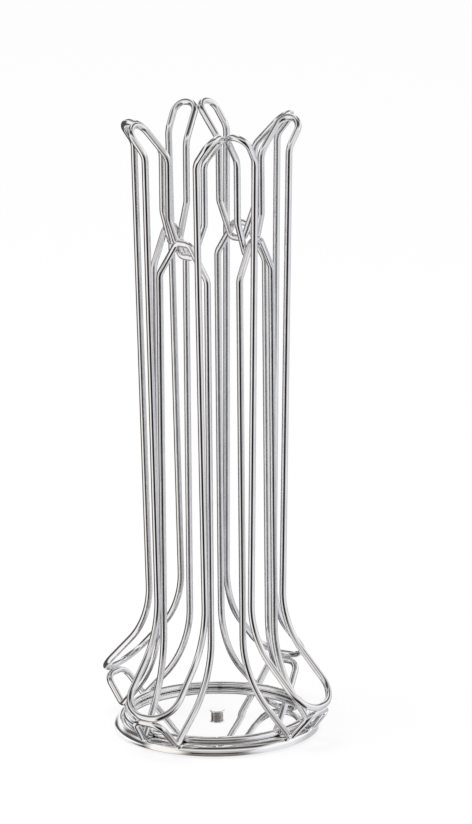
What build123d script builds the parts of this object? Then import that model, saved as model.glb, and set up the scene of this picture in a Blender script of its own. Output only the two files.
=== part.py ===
from build123d import *
import math
import os

# Turning coffee capsule holder: four wire columns on a round base that spins on a flat foot.
# Sizes in millimetres. z = 0 is the table, +Z is up, the four columns face +X, +Y, -X and -Y.

# Wire
wire_d = 4.2                  # column wire
ring_wire_d = 4.2             # ring under the columns
weld_bite = 0.1               # depth to which two welded wires press into each other
seat_bite = 0.02              # the same for the ring, which lies on the plate all round

# Foot and pivot
foot_inset = 8.7              # edge of the steel foot disc inside the plate's edge
foot_t = 2.0
mat_inset = 3.0               # edge of the anti-slip mat inside the foot disc's edge
mat_t = 1.2
glide_inset = 7.0             # low-friction ring that carries the plate, inside the foot disc's edge
glide_w = 10.0
glide_seat = 0.5              # depth of its groove in the foot disc
glide_gap = 0.3               # play between glide ring and plate
glide_fit = 0.1               # play of the ring in its groove, each side
rivet_d = 4.0                 # pivot rivet shank
rivet_head_d = 9.2
rivet_head_t = 0.8
rivet_tail_d = 7.0
rivet_tail_t = 0.7
rivet_fit = 0.05              # radial play of the shank
bush_d = 7.4                  # spacer sleeve the plate turns on
bush_fit = 0.05               # radial play between sleeve and plate
stud_h = 3.6                  # height of the pivot above the plate

# Turning plate: a shallow dish with its rim turned down
plate_d = 127.4
plate_t = 1.2
skirt_h = 6.3                 # plate top down to the rim's lower edge
skirt_gap = 1.2               # rim's lower edge above the table
rim_lip = 0.5                 # upright part of the rim, between its rounding and its round lower edge

# Ring of the cage
ring_inset = 7.8              # ring axis inside the plate's edge

# Rear rails: two straight rails per column behind the capsule rims
rail_r = 31.5                 # rail axis from the turning axis
rail_half = 17.5              # rail axis from the column's middle plane
rail_apex_drop = 51.1         # top bend of the rails below the foot of the petals
rail_shoulder_drop = 21.0     # where the rails reach their full spacing, below their top bend
rail_turn_bend = 68.0         # long outward sweep of the rails over the ring
toe_inset = 0.1               # lowest point of the rail inside the plate's edge
toe_half = 12.0
toe_bend = 2.6
cradle_half = 9.5             # the rails meet in a small cradle under the pocket
cradle_bend = 7.0
apex_half = 4.6               # half width of the two small bends that cross behind a column
apex_bend = 4.0
shoulder_bend = 9.0

# Front loops: legs in front of the capsule rims, pocket below, petals above
inner_half = 13.0             # upper inner leg from the column's middle plane
cross_overlap = 9.0           # the inner legs' bend hangs this far below the rails' top bend
inner_leg = 38.1              # upright length of the inner legs below the petals
petal_h = 359.1               # foot of the petals, where the inner legs lean out
petal_rise = 19.9             # top of the petals' axis above that
petal_step = 4.0              # the front legs lean out this far above the inner legs
petal_tip_half = 30.65        # petal tip from the column's middle plane
petal_bend = 7.4              # half round at the petal's top
petal_lean_bend = 11.0
rim_room = 1.7                # clear depth for a capsule's rim between rail and front leg
front_lean = 6.8              # the front leg leans out this far from the pocket up to the petal
front_top_half = 18.6
front_low_half = 17.4
pocket_h = 61.0               # corner height of the pocket's outward bend
pocket_bend = 52.0
pocket_over = 13.8            # outermost axis of the pocket beyond the plate's edge
pocket_tip_h = 19.2
pocket_half = 18.0
pocket_round = 16.5

# Places that follow from the sizes above
foot_d = plate_d - 2 * foot_inset
mat_d = foot_d - 2 * mat_inset
glide_od = foot_d - 2 * glide_inset
glide_id = glide_od - 2 * glide_w
plate_top = skirt_gap + skirt_h
plate_under = plate_top - plate_t
rim_r = skirt_h - plate_t / 2 - rim_lip
foot_top = mat_t + foot_t
head_under = plate_top + stud_h - rivet_head_t
ring_r = plate_d / 2 - ring_inset
pocket_reach = plate_d / 2 + pocket_over
ring_z = plate_top + ring_wire_d / 2 - seat_bite
touch = wire_d - weld_bite
inner_r = rail_r - touch
front_low_r = rail_r + wire_d + rim_room
front_top_r = front_low_r + front_lean
inner_shoulder_h = petal_h - inner_leg
petal_tip_h = petal_h + petal_rise
petal_wide = petal_bend * 1.02
rail_apex_h = petal_h - rail_apex_drop
rail_shoulder_h = rail_apex_h - rail_shoulder_drop


def bent_tube(points, bends, diameter):
    """Round wire along straight runs with a tangent arc at each inner point."""
    corners = [Vector(*p) for p in points]
    edges = []
    last = corners[0]
    for before, corner, after, bend in zip(corners, corners[1:], corners[2:], bends):
        back = (before - corner).normalized()
        ahead = (after - corner).normalized()
        half_angle = math.acos(max(-1.0, min(1.0, back.dot(ahead)))) / 2
        setback = bend / math.tan(half_angle)
        start = corner + back * setback
        end = corner + ahead * setback
        toward = (back + ahead).normalized()
        middle = corner + toward * (math.hypot(setback, bend) - bend)
        edges.append(Line(last, start))
        edges.append(ThreePointArc(start, middle, end))
        last = end
    edges.append(Line(last, corners[-1]))
    path = Wire([e.edge() for e in edges])
    section = Plane(origin=path @ 0, z_dir=path % 0) * Circle(diameter / 2)
    return sweep(section, path=path).solid()


def both_sides(half):
    """Joins half a column wire with its mirror image across the column's middle plane."""
    return (half + mirror(half, about=Plane.XZ)).solid()


def ring_distance(start, end):
    """Least distance from a straight run to the axis of the base ring."""
    best = 1e9
    for i in range(201):
        x, y, z = (a + (b - a) * i / 200 for a, b in zip(start, end))
        best = min(best, math.hypot(math.hypot(x, y) - ring_r, z - ring_z))
    return best


def toe_point():
    """Lowest point of the rail's toe, so that its round bend rests on the plate's round rim."""
    reach = plate_d / 2 - toe_inset
    x = math.sqrt(reach ** 2 - toe_half ** 2)
    outside = max(0.0, reach - (plate_d / 2 - rim_r))
    lift = math.sqrt((rim_r + wire_d / 2 - weld_bite + toe_bend) ** 2 - outside ** 2)
    return x, toe_half, plate_top - rim_r + lift - toe_bend


def turn_point(toe):
    """Corner of the rail's outward sweep, as low as the ring lets the run down to the toe be."""
    low = plate_top
    high = plate_top + rail_shoulder_h
    for _ in range(40):
        z = (low + high) / 2
        if ring_distance((rail_r, rail_half, z), toe) < (wire_d + ring_wire_d) / 2 - weld_bite:
            low = z
        else:
            high = z
    return rail_r, rail_half, high


def cradle_point():
    """Outer end of the rails, welded under the tip of the pocket."""
    drop = 0.94 * touch
    inset = math.sqrt(touch ** 2 - drop ** 2)
    return pocket_reach - inset, cradle_half, plate_top + pocket_tip_h - drop


def corner_drop(before, corner, after, bend):
    """How far a rounded bend stays short of its corner."""
    back = (Vector(*before) - Vector(*corner)).normalized()
    ahead = (Vector(*after) - Vector(*corner)).normalized()
    half_angle = math.acos(back.dot(ahead)) / 2
    return bend / math.sin(half_angle) - bend


def rear_rail():
    """One rear rail: hairpin with a crossed top, two toes on the rim and a cradle."""
    apex = plate_top + rail_apex_h
    cradle = cradle_point()
    rest = toe_point()
    toe = rest
    for _ in range(3):
        turn = turn_point(toe)
        toe = (rest[0], rest[1], rest[2] - corner_drop(turn, toe, cradle, toe_bend))
    half = bent_tube(
        [
            (rail_r, 0, apex),
            (rail_r, apex_half, apex),
            (rail_r, rail_half, plate_top + rail_shoulder_h),
            turn,
            toe,
            cradle,
            (cradle[0], 0, cradle[2]),
        ],
        [apex_bend, shoulder_bend, rail_turn_bend, toe_bend, cradle_bend],
        wire_d,
    )
    return both_sides(half)


def petal_middle():
    """Petal axis from the turning axis, so that petals of neighbouring columns meet at the corner."""
    side = petal_tip_half - inner_half
    lean = side / math.hypot(petal_rise, side)
    inward = petal_bend * (math.sqrt(1 + lean ** 2) - lean)
    centre = petal_tip_half + inward + math.sqrt(2) * touch / 2
    middle = centre
    for _ in range(4):
        leg = Vector(inner_r - middle + petal_wide, -side, -petal_rise).normalized()
        half_angle = math.acos(leg.X) / 2
        middle = centre + petal_wide - petal_bend / math.tan(half_angle)
    return middle


def front_loop():
    """One front loop: crossed inner legs, two petals, front legs and the pocket."""
    base = plate_top + rail_apex_h - cross_overlap
    middle = petal_middle()
    half = bent_tube(
        [
            (inner_r, 0, base),
            (inner_r, apex_half, base),
            (inner_r, inner_half, plate_top + inner_shoulder_h),
            (inner_r, inner_half, plate_top + petal_h),
            (middle - petal_wide, petal_tip_half, plate_top + petal_tip_h),
            (middle + petal_wide, petal_tip_half, plate_top + petal_tip_h),
            (front_top_r, front_top_half, plate_top + petal_h + petal_step),
            (front_low_r, front_low_half, plate_top + pocket_h),
            (pocket_reach, pocket_half, plate_top + pocket_tip_h),
            (pocket_reach, 0, plate_top + pocket_tip_h),
        ],
        [apex_bend, shoulder_bend, petal_lean_bend, petal_bend, petal_bend, petal_lean_bend, pocket_bend,
         pocket_round],
        wire_d,
    )
    return both_sides(half)


def turned(*outline):
    """Body of revolution about the turning axis from an outline of radius and height."""
    return revolve(Plane.XZ * make_face(Curve() + list(outline)), Axis.Z).solid()


def ring_body(inner, outer, low, high):
    """Plain round piece with square edges."""
    return turned(Polyline((inner, low), (outer, low), (outer, high), (inner, high), close=True))


def base_plate():
    """Dish with a turned-down rim and a bearing hole, open below."""
    hole = bush_d / 2 + bush_fit
    edge = plate_d / 2
    shoulder = edge - rim_r
    inner_edge = edge - plate_t
    diagonal = math.sqrt(0.5)
    round_mid = plate_top - rim_r + rim_r * diagonal
    inner_r_rim = rim_r - plate_t
    inner_mid = plate_top - rim_r + inner_r_rim * diagonal
    lip = plate_t / 2
    outline = [
        Line((hole, plate_under), (hole, plate_top)),
        Line((hole, plate_top), (shoulder, plate_top)),
        ThreePointArc((shoulder, plate_top), (shoulder + rim_r * diagonal, round_mid), (edge, plate_top - rim_r)),
        Line((edge, plate_top - rim_r), (edge, skirt_gap + lip)),
        ThreePointArc((edge, skirt_gap + lip), (edge - lip, skirt_gap), (inner_edge, skirt_gap + lip)),
        Line((inner_edge, skirt_gap + lip), (inner_edge, plate_top - rim_r)),
        ThreePointArc((inner_edge, plate_top - rim_r), (shoulder + inner_r_rim * diagonal, inner_mid),
                      (shoulder, plate_under)),
        Line((shoulder, plate_under), (hole, plate_under)),
    ]
    return turned(*outline)


def foot_disc():
    """Steel disc with a groove for the glide ring, a rivet hole and a recess for the rivet's tail."""
    bore = rivet_d / 2 + rivet_fit
    recess = rivet_tail_d / 2 + glide_fit
    recess_top = mat_t + rivet_tail_t
    edge = foot_d / 2
    soft = foot_t / 4
    groove_in = glide_id / 2 - glide_fit
    groove_out = glide_od / 2 + glide_fit
    groove_z = foot_top - glide_seat
    under = Polyline((bore, foot_top), (bore, recess_top), (recess, recess_top), (recess, mat_t), (edge, mat_t),
                     (edge, foot_top - soft))
    rounding = RadiusArc((edge, foot_top - soft), (edge - soft, foot_top), -soft)
    above = Polyline((edge - soft, foot_top), (groove_out, foot_top), (groove_out, groove_z),
                     (groove_in, groove_z), (groove_in, foot_top), (bore, foot_top))
    return turned(under, rounding, above)


def pivot_rivet():
    """Rivet with a flat upper head and a formed tail."""
    shank = rivet_d / 2
    head = rivet_head_d / 2
    tail = rivet_tail_d / 2
    top = plate_top + stud_h
    soft = rivet_head_t * 0.4
    tail_top = mat_t + rivet_tail_t
    stem = Polyline((0, top), (0, mat_t), (tail, mat_t), (tail, tail_top), (shank, tail_top),
                    (shank, head_under), (head, head_under), (head, top - soft))
    rounding = RadiusArc((head, top - soft), (head - soft, top), -soft)
    return turned(stem, rounding, Line((head - soft, top), (0, top)))


os.makedirs("parts", exist_ok=True)

pieces = {
    "foot_mat": ring_body(0, mat_d / 2, 0, mat_t),
    "foot_disc": foot_disc(),
    "glide_ring": ring_body(glide_id / 2, glide_od / 2, foot_top - glide_seat, plate_under - glide_gap),
    "pivot_bush": ring_body(rivet_d / 2 + rivet_fit, bush_d / 2, foot_top, head_under),
    "pivot_rivet": pivot_rivet(),
    "base_plate": base_plate(),
    "base_ring": Pos(0, 0, ring_z) * Torus(ring_r, ring_wire_d / 2),
}

loop = front_loop()
rail = rear_rail()
for column in range(4):
    turn = Rot(0, 0, 90 * column)
    pieces[f"front_loop_{column + 1}"] = turn * loop
    pieces[f"rear_rail_{column + 1}"] = turn * rail

for name, piece in pieces.items():
    export_step(piece, f"parts/{name}.step")

print("width across pockets", round(2 * pocket_reach + wire_d, 1))
print("height", round(max(p.bounding_box().max.Z for p in pieces.values()), 1))
print("clear width between front legs", round(2 * front_low_half - wire_d, 1))
print("plate, foot and mat across", round(plate_d, 1), round(foot_d, 1), round(mat_d, 1))
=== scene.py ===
import math

import bmesh
import bpy
from mathutils import Matrix, Vector


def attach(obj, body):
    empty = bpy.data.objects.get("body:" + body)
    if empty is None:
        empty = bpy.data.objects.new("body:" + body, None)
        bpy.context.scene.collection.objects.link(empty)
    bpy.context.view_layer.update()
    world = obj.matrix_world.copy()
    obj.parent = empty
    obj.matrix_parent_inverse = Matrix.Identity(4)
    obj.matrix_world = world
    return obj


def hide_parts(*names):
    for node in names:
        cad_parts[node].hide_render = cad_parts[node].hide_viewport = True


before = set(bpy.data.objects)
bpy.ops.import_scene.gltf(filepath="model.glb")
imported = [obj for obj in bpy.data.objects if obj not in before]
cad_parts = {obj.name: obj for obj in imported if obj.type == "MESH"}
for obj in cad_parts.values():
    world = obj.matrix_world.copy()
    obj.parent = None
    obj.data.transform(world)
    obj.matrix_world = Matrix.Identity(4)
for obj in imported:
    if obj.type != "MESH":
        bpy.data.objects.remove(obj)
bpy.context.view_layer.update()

# Looks of the turning capsule holder: bright chrome wire columns on a polished plate.
# Lengths are in millimetres and become metres through MM. The columns face +X, +Y, -X and -Y.

MM = 0.001

# Wires, ring and columns
WIRE = 4.2
RING_WIRE = 4.2
RING_REACH = 55.9
RING_HEIGHT = 9.58
COLUMNS = (1, 2, 3, 4)
COLUMN_STEP = 90

# How finely bends and round pieces are divided
BEND_STEPS = 14
WIRE_HALF_SIDES = 12
RING_SIDES = 32
TURN_STEPS = 192

# Points this near are one place, points this near are doubled, and flatter edges are smooth
SAME_PLACE = 0.01
DOUBLED = 0.005
SMOOTH_ANGLE = math.radians(35)

# Half of a rear rail, from the bend behind the column down to the cradle: corner and bend radius
REAR_RAIL_ROUTE = [
    ((31.5, 0.0, 315.5), 0),
    ((31.5, 4.6, 315.5), 4.0),
    ((31.5, 17.5, 294.5), 9.0),
    ((31.5, 17.5, 41.366), 68.0),
    ((62.458, 12.0, 6.752), 2.6),
    ((76.101, 9.5, 22.846), 7.0),
    ((76.101, 0.0, 22.846), 0),
]

# Half of a front loop, from the bend behind the column over a petal down to the pocket
FRONT_LOOP_ROUTE = [
    ((27.4, 0.0, 306.5), 0),
    ((27.4, 4.6, 306.5), 4.0),
    ((27.4, 13.0, 328.5), 9.0),
    ((27.4, 13.0, 366.6), 11.0),
    ((31.067, 30.65, 386.5), 7.4),
    ((46.163, 30.65, 386.5), 7.4),
    ((44.2, 18.6, 370.6), 11.0),
    ((37.4, 17.4, 68.5), 52.0),
    ((77.49, 18.0, 26.7), 16.5),
    ((77.49, 0.0, 26.7), 0),
]

# Outline of the plate: radius, height and rounding of each corner
PLATE_OUTLINE = [
    ((3.75, 6.3), 0.1),
    ((3.75, 7.5), 0.2),
    ((63.7, 7.5), 5.2),
    ((63.7, 1.2), 0.59),
    ((62.5, 1.2), 0.59),
    ((62.5, 6.3), 4.0),
]

# Middle part of a pattern's values, which is spread over the whole range of a finish
PATTERN_START = 0.3
PATTERN_END = 0.7

# Where the picture is taken from
COLUMN_TURN = math.radians(34.0)
CAMERA_RISE = math.radians(15.878)
CAMERA_ROLL = math.radians(-0.535)
CAMERA_AWAY = 4923.0
CAMERA_AIM = (11.14, 7.515, 202.2)
CAMERA_LENS = 351.3
CAMERA_SENSOR = 36.0
CAMERA_SIGHT = 60000.0

# Floor just below the mat, and how much of its whiteness the camera sees without shade
FLOOR_SIZE = 24000.0
FLOOR_DROP = 0.2
FLOOR_COLOUR = (0.90, 0.90, 0.90)
FLOOR_ROUGHNESS = 0.9
FLOOR_GLOW = 0.85

# Floor as the chrome sees it, in round patches: angle from the camera, to the right,
# distance from the middle, size, soft edge and colour. The dark patch in front is painted
# shade of the floor under the rim, seen only in the chrome; the pale one at the left is the
# floor's white.
FLOOR_AND_PAINTED_SHADE_PATCHES = [
    # painted shade: dark floor patch in front of the rim, seen only in reflections
    (0.0, 78.0, 14.0, 44.0, (0.20, 0.18, 0.16)),
    (-78.0, 84.0, 22.0, 40.0, (0.90, 0.90, 0.90)),
]

# Studio at the holder's height as its chrome sees it: angle from the camera, to the right,
# and colour
STUDIO_ROUND = [
    (-180, (1.0, 1.0, 1.0)),
    (-168, (0.95, 0.95, 0.95)),
    (-156, (0.10, 0.095, 0.09)),
    (-90, (0.08, 0.075, 0.07)),
    (-78, (1.0, 0.96, 0.92)),
    (-42, (1.0, 0.96, 0.92)),
    (-28, (0.02, 0.018, 0.017)),
    (22, (0.02, 0.018, 0.017)),
    (30, (0.28, 0.27, 0.27)),
    (40, (0.79, 0.80, 0.83)),
    (92, (0.81, 0.82, 0.84)),
    (118, (0.56, 0.57, 0.59)),
    (148, (0.54, 0.55, 0.57)),
    (166, (1.0, 1.0, 1.0)),
    (180, (1.0, 1.0, 1.0)),
]

# Studio overhead: angle from the camera up over the holder and down to the far wall, and colour
STUDIO_OVER = [
    (0, (0.30, 0.29, 0.28)),
    (16, (0.46, 0.45, 0.44)),
    (30, (0.46, 0.45, 0.44)),
    (38, (0.84, 0.81, 0.79)),
    (48, (0.84, 0.81, 0.79)),
    (58, (0.30, 0.29, 0.29)),
    (67, (0.06, 0.06, 0.06)),
    (84, (0.06, 0.06, 0.06)),
    (93, (0.60, 0.60, 0.60)),
    (102, (0.14, 0.135, 0.13)),
    (146, (0.12, 0.115, 0.11)),
    (156, (1.0, 1.0, 1.0)),
    (180, (1.0, 1.0, 1.0)),
]
FULL_ROUND = 360.0

# Where the parts of the studio meet: start and end of each soft step, on the share of a direction
# that points to the right, up or to the camera. The strip's width is on the square of that share.
LEFT_SIDE = (-0.58, -0.86)
RIGHT_SIDE = (0.52, 0.82)
STRIP_WIDTH = (0.05, 0.012)
STRIP_FAR_HALF = (-0.10, -0.25)
OVERHEAD_FROM = (0.04, 0.26)
OVERHEAD_FROM_LEFT = (0.26, 0.56)

# Light of the studio: far wall and strip, overhead sides, and what matt surfaces get
WHITE = (1.0, 1.0, 1.0)
SIDE_WHITE = (1.0, 0.99, 0.98)
ROOM_LIGHT = (0.85, 0.85, 0.86)

# Large soft lamp above the holder
LAMP_PLACE = (-400.0, -500.0, 2200.0)
LAMP_AIM = (0.0, 0.0, 200.0)
LAMP_SIZE = 1200.0
LAMP_POWER = 22.0


def let_go():
    """Back to object mode with nothing selected."""
    if bpy.context.object and bpy.context.object.mode != "OBJECT":
        bpy.ops.object.mode_set(mode="OBJECT")
    bpy.ops.object.select_all(action="DESELECT")


def start_point(name, place):
    """A new piece that is one point, ready to be drawn out."""
    let_go()
    bpy.ops.mesh.primitive_plane_add(size=MM, location=(0, 0, 0))
    piece = bpy.context.object
    piece.name = name
    piece.data.name = name
    bpy.ops.object.mode_set(mode="EDIT")
    bpy.ops.mesh.select_mode(type="VERT")
    bpy.ops.mesh.select_all(action="SELECT")
    bpy.ops.mesh.merge(type="CENTER")
    bpy.ops.transform.translate(value=Vector(place) * MM)
    return piece


def draw_out(places):
    """Draws the last point of a line out from corner to corner."""
    for before, after in zip(places, places[1:]):
        step = (Vector(after) - Vector(before)) * MM
        bpy.ops.mesh.extrude_vertices_move(TRANSFORM_OT_translate={"value": step})


def pick_points(piece, places):
    """Selects the points that lie at the given places."""
    points = bmesh.from_edit_mesh(piece.data)
    wanted = [Vector(place) * MM for place in places]
    for point in points.verts:
        point.select_set(any((point.co - place).length < SAME_PLACE * MM for place in wanted))
    points.select_flush_mode()
    bmesh.update_edit_mesh(piece.data)


def bend(piece, before, corner, after, radius):
    """Bends a drawn line at a corner to a round of the given radius."""
    back = (Vector(before) - Vector(corner)).normalized()
    ahead = (Vector(after) - Vector(corner)).normalized()
    half_angle = back.angle(ahead) / 2
    setback = radius / math.tan(half_angle)
    roundness = (1 - 1 / (2 * (1 + math.sin(half_angle)))) ** 2
    pick_points(piece, [corner])
    bpy.ops.mesh.bevel(
        offset=setback * MM, offset_type="OFFSET", segments=BEND_STEPS, profile=roundness,
        affect="VERTICES", clamp_overlap=False)


def close_up(piece):
    """Merges doubled points, turns the faces outward and smooths the surface."""
    bpy.context.view_layer.objects.active = piece
    bpy.ops.object.mode_set(mode="EDIT")
    bpy.ops.mesh.select_all(action="SELECT")
    bpy.ops.mesh.remove_doubles(threshold=DOUBLED * MM)
    bpy.ops.mesh.normals_make_consistent(inside=False)
    bpy.ops.object.mode_set(mode="OBJECT")
    bpy.ops.object.shade_smooth_by_angle(angle=SMOOTH_ANGLE)


def bend_wire(name, route, thick):
    """One closed bent wire: half of it is drawn and bent, mirrored, and given its thickness."""
    places = [place for place, radius in route]
    wire = start_point(name, places[0])
    draw_out(places)
    for i in range(1, len(route) - 1):
        bend(wire, places[i - 1], places[i], places[i + 1], route[i][1])
    bpy.ops.object.mode_set(mode="OBJECT")
    mirror = wire.modifiers.new("other_half", "MIRROR")
    mirror.use_axis = (False, True, False)
    mirror.merge_threshold = SAME_PLACE * MM
    bpy.ops.object.modifier_apply(modifier=mirror.name)
    bpy.ops.object.convert(target="CURVE")
    wire = bpy.context.object
    wire.data.bevel_depth = thick / 2 * MM
    wire.data.bevel_resolution = WIRE_HALF_SIDES - 2
    bpy.ops.object.convert(target="MESH")
    wire = bpy.context.object
    close_up(wire)
    return wire


def copy_round(first, column):
    """The same piece for another column, turned about the middle."""
    let_go()
    first.select_set(True)
    bpy.context.view_layer.objects.active = first
    bpy.ops.object.duplicate(linked=False)
    piece = bpy.context.object
    piece.name = first.name[:-1] + str(column)
    piece.data.name = piece.name
    piece.rotation_euler.z = math.radians(COLUMN_STEP * (column - 1))
    bpy.ops.object.transform_apply(location=True, rotation=True, scale=True)
    return piece


def spin_round():
    """Turns what is drawn round the middle axis."""
    bpy.ops.mesh.select_all(action="SELECT")
    bpy.ops.mesh.spin(steps=TURN_STEPS, angle=math.tau, center=(0, 0, 0), axis=(0, 0, 1))


def turned_piece(name, outline):
    """A piece turned from a closed outline of radius and height."""
    places = [(radius, 0, height) for (radius, height), rounding in outline]
    piece = start_point(name, places[0])
    draw_out(places)
    pick_points(piece, [places[0], places[-1]])
    bpy.ops.mesh.edge_face_add()
    count = len(places)
    for i in range(count):
        bend(piece, places[i - 1], places[i], places[(i + 1) % count], outline[i][1])
    spin_round()
    close_up(piece)
    return piece


def base_ring():
    """The wire ring that ties the columns together on the plate."""
    let_go()
    bpy.ops.mesh.primitive_circle_add(
        vertices=RING_SIDES, radius=RING_WIRE / 2 * MM,
        location=(RING_REACH * MM, 0, RING_HEIGHT * MM), rotation=(math.pi / 2, 0, 0))
    ring = bpy.context.object
    ring.name = "chrome_base_ring"
    ring.data.name = ring.name
    bpy.ops.object.transform_apply(location=True, rotation=True, scale=True)
    bpy.ops.object.mode_set(mode="EDIT")
    spin_round()
    close_up(ring)
    return ring


def new_finish(name):
    """An empty finish with its shader and the piece's own coordinates."""
    finish = bpy.data.materials.new(name)
    finish.use_nodes = True
    tree = finish.node_tree
    shader = tree.nodes["Principled BSDF"]
    coords = tree.nodes.new("ShaderNodeTexCoord")
    return finish, tree, shader, coords.outputs["Object"]


def speckle(tree, coords, scale, detail):
    """Fine noise over a piece; scale is in spots per metre."""
    noise = tree.nodes.new("ShaderNodeTexNoise")
    noise.inputs["Scale"].default_value = scale
    noise.inputs["Detail"].default_value = detail
    tree.links.new(coords, noise.inputs["Vector"])
    return noise.outputs["Fac"]


def spread(tree, value, low, high):
    """Spreads a pattern's values over a range."""
    stretch = tree.nodes.new("ShaderNodeMapRange")
    stretch.inputs["From Min"].default_value = PATTERN_START
    stretch.inputs["From Max"].default_value = PATTERN_END
    stretch.inputs["To Min"].default_value = low
    stretch.inputs["To Max"].default_value = high
    tree.links.new(value, stretch.inputs["Value"])
    return stretch.outputs["Result"]


def shade_between(tree, value, dark, light):
    """Colour that goes from dark to light with a pattern."""
    ramp = tree.nodes.new("ShaderNodeValToRGB")
    ramp.color_ramp.elements[0].position = PATTERN_START
    ramp.color_ramp.elements[0].color = (*dark, 1)
    ramp.color_ramp.elements[1].position = PATTERN_END
    ramp.color_ramp.elements[1].color = (*light, 1)
    tree.links.new(value, ramp.inputs["Fac"])
    return ramp.outputs["Color"]


def vary(tree, shader, pattern, dark, light, smooth, dull):
    """Lets colour and gloss of a finish vary with a pattern."""
    tree.links.new(shade_between(tree, pattern, dark, light), shader.inputs["Base Color"])
    tree.links.new(spread(tree, pattern, smooth, dull), shader.inputs["Roughness"])


def relief(tree, shader, height, strength, depth):
    """Fine relief on the surface."""
    bump = tree.nodes.new("ShaderNodeBump")
    bump.inputs["Strength"].default_value = strength
    bump.inputs["Distance"].default_value = depth * MM
    tree.links.new(height, bump.inputs["Height"])
    tree.links.new(bump.outputs["Normal"], shader.inputs["Normal"])


def chrome_finish(name, dark, light, smooth, dull, haze_scale):
    """Bright metal with a faint polishing haze and the slight waves of drawn or pressed steel."""
    finish, tree, shader, coords = new_finish(name)
    shader.inputs["Metallic"].default_value = 1.0
    haze = speckle(tree, coords, scale=haze_scale, detail=4.0)
    waves = speckle(tree, coords, scale=110.0, detail=0.0)
    vary(tree, shader, haze, dark, light, smooth, dull)
    relief(tree, shader, waves, strength=0.5, depth=0.04)
    return finish


def steel_finish(name, dark, light, roughness):
    """Turned or rolled steel with fine rings and spots."""
    finish, tree, shader, coords = new_finish(name)
    shader.inputs["Metallic"].default_value = 1.0
    rings = tree.nodes.new("ShaderNodeTexWave")
    rings.wave_type = "RINGS"
    rings.rings_direction = "Z"
    rings.inputs["Scale"].default_value = 900.0
    rings.inputs["Distortion"].default_value = 1.5
    tree.links.new(coords, rings.inputs["Vector"])
    spots = speckle(tree, coords, scale=700.0, detail=5.0)
    vary(tree, shader, spots, dark, light, smooth=roughness * 0.8, dull=roughness * 1.2)
    relief(tree, shader, rings.outputs["Fac"], strength=0.15, depth=0.02)
    return finish


def moulded_finish(name, dark, light, roughness, grain_scale, grain):
    """Moulded plastic or rubber with a fine grain."""
    finish, tree, shader, coords = new_finish(name)
    cells = tree.nodes.new("ShaderNodeTexVoronoi")
    cells.inputs["Scale"].default_value = grain_scale
    tree.links.new(coords, cells.inputs["Vector"])
    tone = speckle(tree, coords, scale=120.0, detail=4.0)
    vary(tree, shader, tone, dark, light, smooth=roughness * 0.9, dull=roughness * 1.1)
    relief(tree, shader, cells.outputs["Distance"], strength=grain, depth=0.15)
    return finish


def put_on(piece, finish):
    """Gives a piece one finish all over."""
    piece.data.materials.clear()
    piece.data.materials.append(finish)


def ease(tree, value, start, end):
    """Soft step from 0 at start to 1 at end."""
    step = tree.nodes.new("ShaderNodeMapRange")
    step.interpolation_type = "SMOOTHSTEP"
    step.inputs["From Min"].default_value = start
    step.inputs["From Max"].default_value = end
    tree.links.new(value, step.inputs["Value"])
    return step.outputs["Result"]


def join(tree, way, first, second):
    """Sum or product of two values."""
    joined = tree.nodes.new("ShaderNodeMath")
    joined.operation = way
    tree.links.new(first, joined.inputs[0])
    tree.links.new(second, joined.inputs[1])
    return joined.outputs[0]


def blend(tree, share, first, second):
    """Goes from the first colour to the second with a share."""
    mix = tree.nodes.new("ShaderNodeMixRGB")
    tree.links.new(share, mix.inputs["Fac"])
    for colour, place in ((first, "Color1"), (second, "Color2")):
        if isinstance(colour, tuple):
            mix.inputs[place].default_value = (*colour, 1)
        else:
            tree.links.new(colour, mix.inputs[place])
    return mix.outputs["Color"]


def cover(tree, share, first, second):
    """Goes from the first surface to the second with a share."""
    mix = tree.nodes.new("ShaderNodeMixShader")
    tree.links.new(share, mix.inputs[0])
    tree.links.new(first, mix.inputs[1])
    tree.links.new(second, mix.inputs[2])
    return mix.outputs[0]


def from_camera(angle):
    """Level direction at an angle in degrees from the camera, to the right."""
    turned = math.radians(angle) + COLUMN_TURN
    return Vector((math.sin(turned), -math.cos(turned), 0))


def set_camera():
    """The camera of the picture, long and a little above the holder."""
    back = from_camera(0) * math.cos(CAMERA_RISE) + Vector((0, 0, math.sin(CAMERA_RISE)))
    right = from_camera(90)
    up = back.cross(right)
    rolled_right = right * math.cos(CAMERA_ROLL) + up * math.sin(CAMERA_ROLL)
    rolled_up = up * math.cos(CAMERA_ROLL) - right * math.sin(CAMERA_ROLL)
    turn = Matrix((rolled_right, rolled_up, back)).transposed()
    place = Vector(CAMERA_AIM) * MM + back * CAMERA_AWAY * MM
    let_go()
    bpy.ops.object.camera_add(location=place, rotation=turn.to_euler())
    camera = bpy.context.object
    camera.data.lens = CAMERA_LENS
    camera.data.sensor_width = CAMERA_SENSOR
    camera.data.clip_end = CAMERA_SIGHT * MM
    bpy.context.scene.camera = camera


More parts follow.
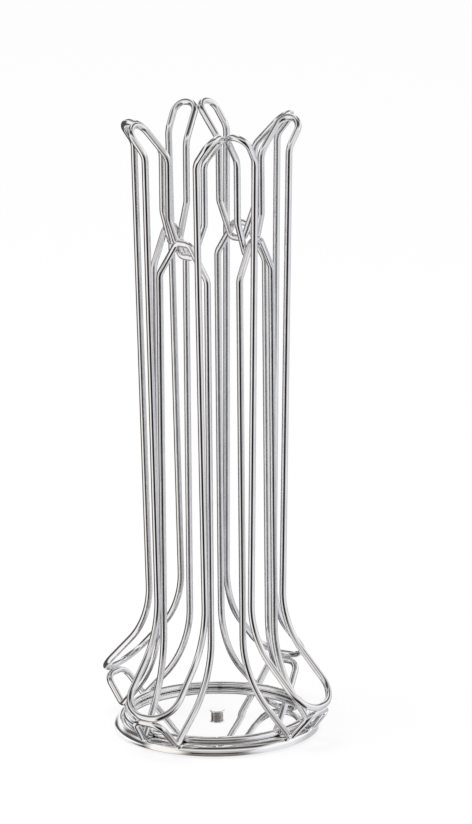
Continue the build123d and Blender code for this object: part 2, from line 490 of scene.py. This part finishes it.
def set_floor():
    """Pale floor that keeps a faint shadow and is white behind the holder."""
    let_go()
    bpy.ops.mesh.primitive_plane_add(size=FLOOR_SIZE * MM, location=(0, 0, -FLOOR_DROP * MM))
    floor = bpy.context.object
    floor.name = "studio_floor"
    finish, tree, shader, coords = new_finish("pale_floor")
    shader.inputs["Base Color"].default_value = (*FLOOR_COLOUR, 1)
    shader.inputs["Roughness"].default_value = FLOOR_ROUGHNESS
    shader.inputs["Specular IOR Level"].default_value = 0.0
    glow = tree.nodes.new("ShaderNodeEmission")
    glow.inputs["Strength"].default_value = 1.0
    path = tree.nodes.new("ShaderNodeLightPath")
    share = tree.nodes.new("ShaderNodeMath")
    share.operation = "MULTIPLY"
    share.inputs[1].default_value = FLOOR_GLOW
    tree.links.new(path.outputs["Is Camera Ray"], share.inputs[0])
    seen = cover(tree, share.outputs[0], shader.outputs[0], glow.outputs[0])

    # In the chrome, only patches of it show beside the plate, and the studio beyond. The dark
    # patch is painted shade, seen only in reflections.
    beyond = tree.nodes.new("ShaderNodeBsdfTransparent").outputs[0]
    mirrored = beyond
    for angle, distance, size, soft_edge, colour in FLOOR_AND_PAINTED_SHADE_PATCHES:
        away = tree.nodes.new("ShaderNodeVectorMath")
        away.operation = "DISTANCE"
        away.inputs[1].default_value = from_camera(angle) * distance * MM
        tree.links.new(coords, away.inputs[0])
        laid = ease(tree, away.outputs["Value"], soft_edge * MM, size * MM)
        # Each patch is a diffuse surface that only the chrome sees; the dark one is painted
        # shade.
        floor_and_shade_patch = tree.nodes.new("ShaderNodeBsdfDiffuse")
        floor_and_shade_patch.inputs["Color"].default_value = (*colour, 1)
        mirrored = cover(tree, laid, mirrored, floor_and_shade_patch.outputs[0])
    both = cover(tree, path.outputs["Is Glossy Ray"], seen, mirrored)

    # From below it is clear, so that the underside can be looked at
    facing = tree.nodes.new("ShaderNodeNewGeometry")
    one_sided = cover(tree, facing.outputs["Backfacing"], both, beyond)
    tree.links.new(one_sided, tree.nodes["Material Output"].inputs["Surface"])
    put_on(floor, finish)


def turned_by(tree, direction, rotation):
    """A direction turned about the middle."""
    turn = tree.nodes.new("ShaderNodeMapping")
    turn.vector_type = "POINT"
    turn.inputs["Rotation"].default_value = rotation
    tree.links.new(direction, turn.inputs["Vector"])
    return turn.outputs["Vector"]


def studio_band(tree, direction, band):
    """Colours of the studio round one axis."""
    round_about = tree.nodes.new("ShaderNodeTexGradient")
    round_about.gradient_type = "RADIAL"
    tree.links.new(direction, round_about.inputs["Vector"])
    ramp = tree.nodes.new("ShaderNodeValToRGB")
    marks = ramp.color_ramp.elements
    while len(marks) < len(band):
        marks.new(0.5)
    for mark, (angle, colour) in zip(marks, band):
        mark.position = 0.5 + angle / FULL_ROUND
        mark.color = (*colour, 1)
    tree.links.new(round_about.outputs["Fac"], ramp.inputs["Fac"])
    return ramp.outputs["Color"]


def set_studio():
    """White surround, lit at the sides and overhead, with a dark room behind the camera."""
    world = bpy.data.worlds.new("studio")
    bpy.context.scene.world = world
    world.use_nodes = True
    tree = world.node_tree
    background = tree.nodes["Background"]
    coords = tree.nodes.new("ShaderNodeTexCoord")
    level = turned_by(tree, coords.outputs["Generated"], (0, 0, math.pi / 2 - COLUMN_TURN))
    tipped = turned_by(tree, level, (-math.pi / 2, 0, 0))
    sides = studio_band(tree, level, STUDIO_ROUND)
    over = studio_band(tree, tipped, STUDIO_OVER)
    parts = tree.nodes.new("ShaderNodeSeparateXYZ")
    tree.links.new(level, parts.inputs["Vector"])
    to_camera, to_right, up = (parts.outputs[axis] for axis in "XYZ")

    # Overhead there is a lit strip in the far half, and white at both sides
    leftward = ease(tree, to_right, *LEFT_SIDE)
    rightward = ease(tree, to_right, *RIGHT_SIDE)
    beside = join(tree, "ADD", leftward, rightward)
    aside = join(tree, "MULTIPLY", to_right, to_right)
    middle = ease(tree, aside, *STRIP_WIDTH)
    far_half = ease(tree, to_camera, *STRIP_FAR_HALF)
    strip = join(tree, "MULTIPLY", middle, far_half)
    lit = blend(tree, strip, over, WHITE)
    overhead = blend(tree, beside, lit, SIDE_WHITE)

    # It comes lower at the right than at the left
    lower = ease(tree, up, *OVERHEAD_FROM)
    higher = ease(tree, up, *OVERHEAD_FROM_LEFT)
    above = blend(tree, leftward, lower, higher)
    chrome_sees = blend(tree, above, sides, overhead)

    path = tree.nodes.new("ShaderNodeLightPath")
    soft = blend(tree, path.outputs["Is Glossy Ray"], ROOM_LIGHT, chrome_sees)
    seen = blend(tree, path.outputs["Is Camera Ray"], soft, WHITE)
    tree.links.new(seen, background.inputs["Color"])
    background.inputs["Strength"].default_value = 1.0


def add_softbox():
    """One large soft lamp, turned to its aim."""
    let_go()
    place = Vector(LAMP_PLACE) * MM
    direction = Vector(LAMP_AIM) * MM - place
    turn = direction.to_track_quat("-Z", "Y").to_euler()
    bpy.ops.object.light_add(type="AREA", location=place, rotation=turn)
    lamp = bpy.context.object
    lamp.name = "top_softbox"
    lamp.data.shape = "DISK"
    lamp.data.size = LAMP_SIZE * MM
    lamp.data.energy = LAMP_POWER
    lamp.visible_glossy = False


# Finishes
wire_chrome = chrome_finish(
    "wire_chrome", dark=(0.83, 0.83, 0.85), light=(0.93, 0.93, 0.94),
    smooth=0.035, dull=0.08, haze_scale=90.0)
plate_chrome = chrome_finish(
    "plate_chrome", dark=(0.93, 0.93, 0.94), light=(0.98, 0.98, 0.98),
    smooth=0.015, dull=0.05, haze_scale=40.0)
rivet_chrome = chrome_finish(
    "rivet_chrome", dark=(0.90, 0.90, 0.90), light=(0.96, 0.96, 0.96),
    smooth=0.03, dull=0.06, haze_scale=300.0)
bush_steel = chrome_finish(
    "bush_steel", dark=(0.30, 0.29, 0.28), light=(0.44, 0.43, 0.41),
    smooth=0.07, dull=0.12, haze_scale=300.0)
foot_steel = steel_finish(
    "foot_steel", dark=(0.50, 0.51, 0.53), light=(0.66, 0.66, 0.67), roughness=0.38)
glide_plastic = moulded_finish(
    "glide_plastic", dark=(0.66, 0.65, 0.60), light=(0.78, 0.77, 0.73),
    roughness=0.45, grain_scale=1400.0, grain=0.1)
mat_rubber = moulded_finish(
    "mat_rubber", dark=(0.020, 0.020, 0.021), light=(0.045, 0.045, 0.046),
    roughness=0.75, grain_scale=700.0, grain=0.5)

# Wires of the four columns
first_rail = bend_wire("chrome_rear_rail_1", REAR_RAIL_ROUTE, WIRE)
first_loop = bend_wire("chrome_front_loop_1", FRONT_LOOP_ROUTE, WIRE)
rails = [first_rail] + [copy_round(first_rail, column) for column in COLUMNS[1:]]
loops = [first_loop] + [copy_round(first_loop, column) for column in COLUMNS[1:]]
for column, rail, loop in zip(COLUMNS, rails, loops):
    for piece, node in ((rail, "rear_rail_"), (loop, "front_loop_")):
        put_on(piece, wire_chrome)
        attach(piece, "carousel")
        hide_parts(node + str(column))

ring = base_ring()
put_on(ring, wire_chrome)
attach(ring, "carousel")
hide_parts("base_ring")

plate = turned_piece("polished_base_plate", PLATE_OUTLINE)
put_on(plate, plate_chrome)
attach(plate, "carousel")
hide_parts("base_plate")

# Pieces that keep their shape from model.glb
for node, finish in (
        ("pivot_rivet", rivet_chrome), ("pivot_bush", bush_steel), ("foot_disc", foot_steel),
        ("glide_ring", glide_plastic), ("foot_mat", mat_rubber)):
    put_on(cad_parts[node], finish)

# The picture
set_camera()
set_floor()
set_studio()
add_softbox()
bpy.context.scene.view_settings.view_transform = "Standard"
